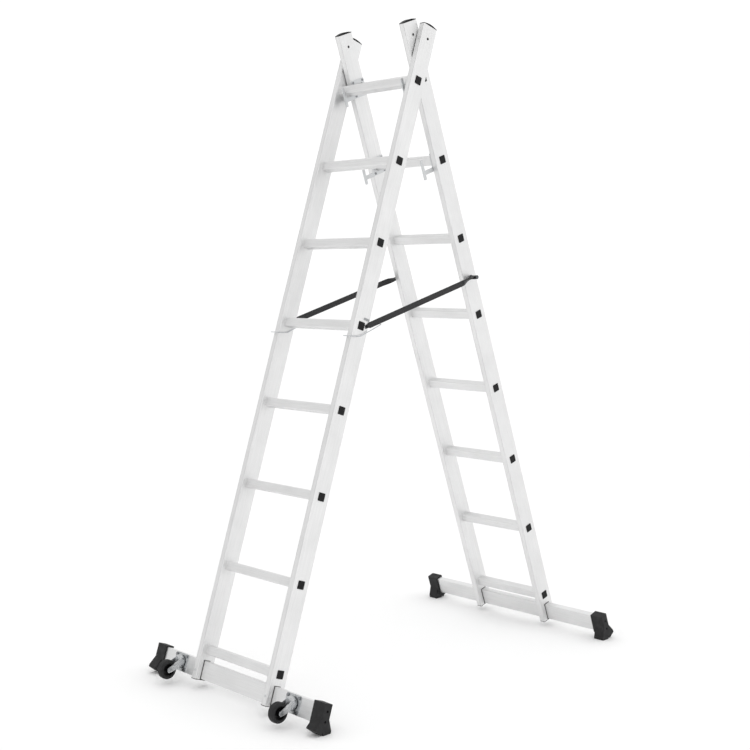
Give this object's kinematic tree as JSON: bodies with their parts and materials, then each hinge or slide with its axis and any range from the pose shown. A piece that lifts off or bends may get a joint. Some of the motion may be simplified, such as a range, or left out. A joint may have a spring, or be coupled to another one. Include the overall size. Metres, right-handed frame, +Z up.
{
  "type": "multi position ladder",
  "caption": "Aluminium step ladder made of two hooked-together ladder sections, with webbing straps, flat stabiliser bars with flared feet, and castors on the front bar.",
  "frame": {"origin": "on the floor, in the middle of the ladder's footprint", "axes": "+Z up, +X across the ladder to the right, -Y towards the front section with the castors"},
  "size_m": [0.854, 1.5022, 2.1758],
  "materials": {
    "aluminium": "pale satin mill-finished extrusion",
    "black_plastic": "fine-grained moulded plastic",
    "zinc_plated_steel": "bright zinc plating",
    "foot_rubber": "moulded rubber",
    "castor_tyre": "solid black rubber",
    "castor_hub": "moulded plastic",
    "webbing": "flat black polyester webbing",
    "grey_clip": "moulded plastic",
    "bright_wire": "bright plated spring wire"
  },
  "bodies": {
    "front_section": {"castor_kingpins": "zinc_plated_steel", "castor_plate_bolts": "zinc_plated_steel", "castor_plate_left": "zinc_plated_steel", "castor_plate_right": "zinc_plated_steel", "front_bar_liners": "black_plastic", "front_bar_screws": "zinc_plated_steel", "front_foot_left": "foot_rubber", "front_foot_right": "foot_rubber", "front_foot_screws": "zinc_plated_steel", "front_rung_1": "aluminium", "front_rung_2": "aluminium", "front_rung_3": "aluminium", "front_rung_4": "aluminium", "front_rung_5": "aluminium", "front_rung_6": "aluminium", "front_rung_7": "aluminium", "front_rung_8": "aluminium", "front_rung_plugs": "black_plastic", "front_stabiliser_bar": "aluminium", "front_stile_left": "aluminium", "front_stile_right": "aluminium", "front_top_caps": "black_plastic", "strap_anchor_rivets": "zinc_plated_steel", "strap_keepers": "grey_clip", "strap_left": "webbing", "strap_right": "webbing", "wire_bail_left": "bright_wire", "wire_bail_right": "bright_wire"},
    "rear_section": {"hook_plate_lower_left": "zinc_plated_steel", "hook_plate_lower_right": "zinc_plated_steel", "hook_plate_rivets": "zinc_plated_steel", "hook_plate_upper_left": "zinc_plated_steel", "hook_plate_upper_right": "zinc_plated_steel", "rear_bar_liners": "black_plastic", "rear_bar_screws": "zinc_plated_steel", "rear_foot_left": "foot_rubber", "rear_foot_right": "foot_rubber", "rear_foot_screws": "zinc_plated_steel", "rear_rung_1": "aluminium", "rear_rung_2": "aluminium", "rear_rung_3": "aluminium", "rear_rung_4": "aluminium", "rear_rung_5": "aluminium", "rear_rung_6": "aluminium", "rear_rung_7": "aluminium", "rear_rung_8": "aluminium", "rear_rung_plugs": "black_plastic", "rear_stabiliser_bar": "aluminium", "rear_stile_left": "aluminium", "rear_stile_right": "aluminium", "rear_strap_pins": "zinc_plated_steel", "rear_top_caps": "black_plastic"},
    "castor_left_swivel": {"castor_fork_left": "zinc_plated_steel", "castor_axle_left": "zinc_plated_steel"},
    "castor_left_wheel": {"castor_tyre_left": "castor_tyre", "castor_hub_left": "castor_hub"},
    "castor_right_swivel": {"castor_fork_right": "zinc_plated_steel", "castor_axle_right": "zinc_plated_steel"},
    "castor_right_wheel": {"castor_tyre_right": "castor_tyre", "castor_hub_right": "castor_hub"}
  },
  "joints": [
    {"name": "fold", "type": "hinge", "parent": "front_section", "child": "rear_section", "pos_m": [0, 0.02114, 1.96989], "axis": [-1, 0, 0], "range_deg": [0, 27], "deforming": ["strap_left", "strap_right"]},
    {"name": "castor_left_swivel_turn", "type": "hinge", "parent": "front_section", "child": "castor_left_swivel", "pos_m": [-0.286, -0.67169, 0.06588], "axis": [0, 0.9437, -0.3308], "continuous": true},
    {"name": "castor_left_wheel_roll", "type": "hinge", "parent": "castor_left_swivel", "child": "castor_left_wheel", "pos_m": [-0.286, -0.71908, 0.04859], "axis": [1, 0, 0], "continuous": true},
    {"name": "castor_right_swivel_turn", "type": "hinge", "parent": "front_section", "child": "castor_right_swivel", "pos_m": [0.286, -0.67169, 0.06588], "axis": [0, 0.9437, -0.3308], "continuous": true},
    {"name": "castor_right_wheel_roll", "type": "hinge", "parent": "castor_right_swivel", "child": "castor_right_wheel", "pos_m": [0.286, -0.71908, 0.04859], "axis": [1, 0, 0], "continuous": true}
  ]
}
